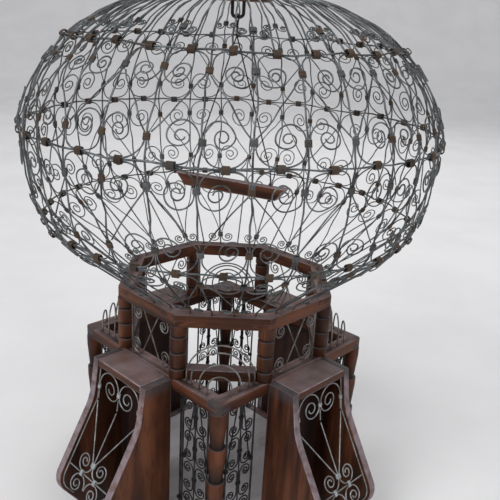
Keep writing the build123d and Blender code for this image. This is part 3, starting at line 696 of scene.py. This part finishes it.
def mark_wood(mesh, grain_of, grooved, rubbed_and_sheen_edges, dirty_ends, painted_shade_fill):
    """Attributes that the wood material reads: grain, end grain, worn edges with a painted sky sheen on leg
    sides, and painted shade.
    """
    places = vertex_array(mesh)
    grain = np.zeros_like(places)
    # Painted shade over a whole piece where asked, as on the sill rails
    dirt_and_painted_shade = np.full(len(places), painted_shade_fill)
    lengthways = np.zeros(len(places))
    half_length = np.full(len(places), clean_half_length)
    part = np.zeros(len(places), int)
    lengthwise = []
    thin = []
    for k, island in enumerate(islands(mesh)):
        points = places[island]
        along = grain_of(points)
        lengthwise.append(along)
        axes = np.linalg.svd(points - points.mean(0), full_matrices=False)[2]
        thin.append(axes[2])
        basis = np.array((along, np.cross(grain_slants[0], along), np.cross(along, grain_slants[1])))
        grain[island] = points @ basis.T + random_draw.uniform(-1, 1, 3)
        part[island] = k
        low, high = (points @ along).min(), (points @ along).max()
        lengthways[island] = points @ along - (low + high) / 2
        if dirty_ends:
            half_length[island] = (high - low) / 2
        # Painted shade in the grooves of turned posts
        if grooved:
            radius = np.linalg.norm((points - points.mean(0))[:, :2], axis=1)
            dirt_and_painted_shade[island] = groove_shade(radius)
    first = np.zeros(len(mesh.polygons), int)
    mesh.polygons.foreach_get("loop_start", first)
    corner_vertex = np.zeros(len(mesh.loops), int)
    mesh.loops.foreach_get("vertex_index", corner_vertex)
    face_part = part[corner_vertex[first]]
    normals = np.zeros(len(mesh.polygons) * 3)
    mesh.polygons.foreach_get("normal", normals)
    normals = normals.reshape(-1, 3)
    ends = np.abs((normals * np.array(lengthwise)[face_part]).sum(1)) > end_facing
    wear_and_sheen = np.zeros(len(mesh.polygons))
    mesh.attributes["bevelled"].data.foreach_get("value", wear_and_sheen)
    if grooved:
        wear_and_sheen[:] = 0
    # Edge faces of the leg sides: wear, and partly a painted sky sheen
    if rubbed_and_sheen_edges:
        edge_on = np.abs((normals * np.array(thin)[face_part]).sum(1)) < edge_facing
        wear_and_sheen = np.maximum(wear_and_sheen, edge_on * edge_rub_and_sheen)
    wear_and_sheen[ends] = 0
    mesh.attributes.new("grain", "FLOAT_VECTOR", "POINT").data.foreach_set("vector", grain.ravel())
    mesh.attributes.new("dirt_and_painted_shade", "FLOAT", "POINT").data.foreach_set("value", dirt_and_painted_shade)
    mesh.attributes.new("along", "FLOAT", "POINT").data.foreach_set("value", lengthways)
    mesh.attributes.new("half_length", "FLOAT", "POINT").data.foreach_set("value", half_length)
    mesh.attributes.new("wear_and_sheen", "FLOAT", "FACE").data.foreach_set("value", wear_and_sheen)
    mesh.attributes.new("end_grain", "FLOAT", "FACE").data.foreach_set("value", ends.astype(float))


def groove_shade(radius):
    """Painted shade in the narrow places of a turned post, from the radius of each point."""
    widest = radius.max()
    return np.clip((widest - radius - groove_shade_start) / groove_shade_depth, 0, 1) * groove_shade_most


def along_length(places):
    """Grain along the piece's longest level direction."""
    flat = places[:, :2] - places[:, :2].mean(0)
    direction = np.linalg.svd(flat, full_matrices=False)[2][0]
    return np.array((direction[0], direction[1], 0))


def upright(places):
    """Grain straight up."""
    return np.array((0.0, 0.0, 1.0))


zinc = wire_material("galvanised_wire", (0.17, 0.182, 0.19), (0.058, 0.059, 0.058), (0.07, 0.045, 0.03), 0.0)
pale_zinc = wire_material("pale_wire", (0.36, 0.37, 0.38), (0.17, 0.165, 0.16), (0.14, 0.10, 0.07), -0.06)
dull_wire = wire_material("dull_wire", (0.27, 0.262, 0.25), (0.115, 0.108, 0.10), (0.13, 0.09, 0.06), 0.0)
dark_wire = wire_material("dark_wire", (0.055, 0.057, 0.062), (0.016, 0.016, 0.017), (0.05, 0.03, 0.02), 0.0)
wraps_paint = wrap_material()
iron = iron_material()
mahogany = wood_material("turned_wood", (0.021, 0.0070, 0.0038), (0.065, 0.0210, 0.0096),
                         (0.138, 0.047, 0.021), (0.215, 0.165, 0.167), 0.74, (0.285, 0.238, 0.26))
# Darker copy of the wood for the leg backs: painted shade inside the legs
painted_shade_wood = wood_material("painted_shade_wood", (0.014, 0.007, 0.006), (0.030, 0.014, 0.012), (0.050, 0.024, 0.020),
                          (0.16, 0.12, 0.12), 0.5, (0.08, 0.05, 0.045))
board_wood = wood_material("floor_wood", (0.26, 0.235, 0.23), (0.40, 0.37, 0.37), (0.52, 0.49, 0.49),
                           (0.56, 0.53, 0.55), 0.8, (0.56, 0.53, 0.55))

make_camera()
make_light()
make_floor()

dome_nodes = ("dome_ribs", "cap_wires", "lower_ring", "equator_ring", "upper_ring", "foot_scrolls",
              "lower_scrolls", "shoulder_scrolls", "waist_scrolls", "belly_scrolls", "upper_scrolls",
              "cap_scrolls", "lower_lattice", "middle_lattice", "upper_lattice")
for node in dome_nodes:
    bent_copy(node, zinc)
collar_wraps("rib_collars", wraps_paint, 0.2, 0.66)
collar_wraps("ring_collars", wraps_paint, 0.0, 0.5)
all_ties(wraps_paint)
swing_strands(iron)

dressed("octagon_rails", mahogany, along_length)
# Sill rails darkened evenly with painted shade
dressed("sill_rails", mahogany, along_length, painted_shade_fill=sill_painted_shade)
# Turned posts get painted shade in their grooves
dressed("tower_posts", mahogany, upright, round_by=post_edge_round, grooved=True)
dressed("hub_disc", mahogany, along_length)
dressed("swing_perch", mahogany, along_length, "swing")
dressed("floor_rails", mahogany, along_length)
dressed("floor_board", board_wood, along_length, slot="floor_wood")
dressed("leg_tops", mahogany, along_length)
# Leg backs in the darker wood, which paints the shade inside the legs
dressed("leg_backs", painted_shade_wood, upright)
for side in sides:
    dressed("frame_rail_" + side, mahogany, along_length, dirty_ends=True)
    # Leg side edges paler from wear and from a painted sky sheen
    dressed("leg_sides_" + side, mahogany, upright, rubbed_and_sheen_edges=True, dirty_ends=True)
# Corner posts get painted shade in their grooves
for corner in corners:
    dressed("corner_post_" + corner, mahogany, upright, round_by=post_edge_round, grooved=True)

for name, node in nodes.items():
    if node.hide_render:
        continue
    node.data.materials.clear()
    if name == "hanging_link":
        node.data.materials.append(iron)
    elif name.startswith("leg_ornament"):
        node.data.materials.append(pale_zinc)
    elif name.startswith(("tower_panel", "balcony_hoops")):
        node.data.materials.append(dull_wire)
    elif name.startswith(("base_panels", "door", "hinge_wire")):
        node.data.materials.append(dark_wire)
    else:
        node.data.materials.append(zinc)

bpy.context.scene.view_settings.view_transform = "Standard"
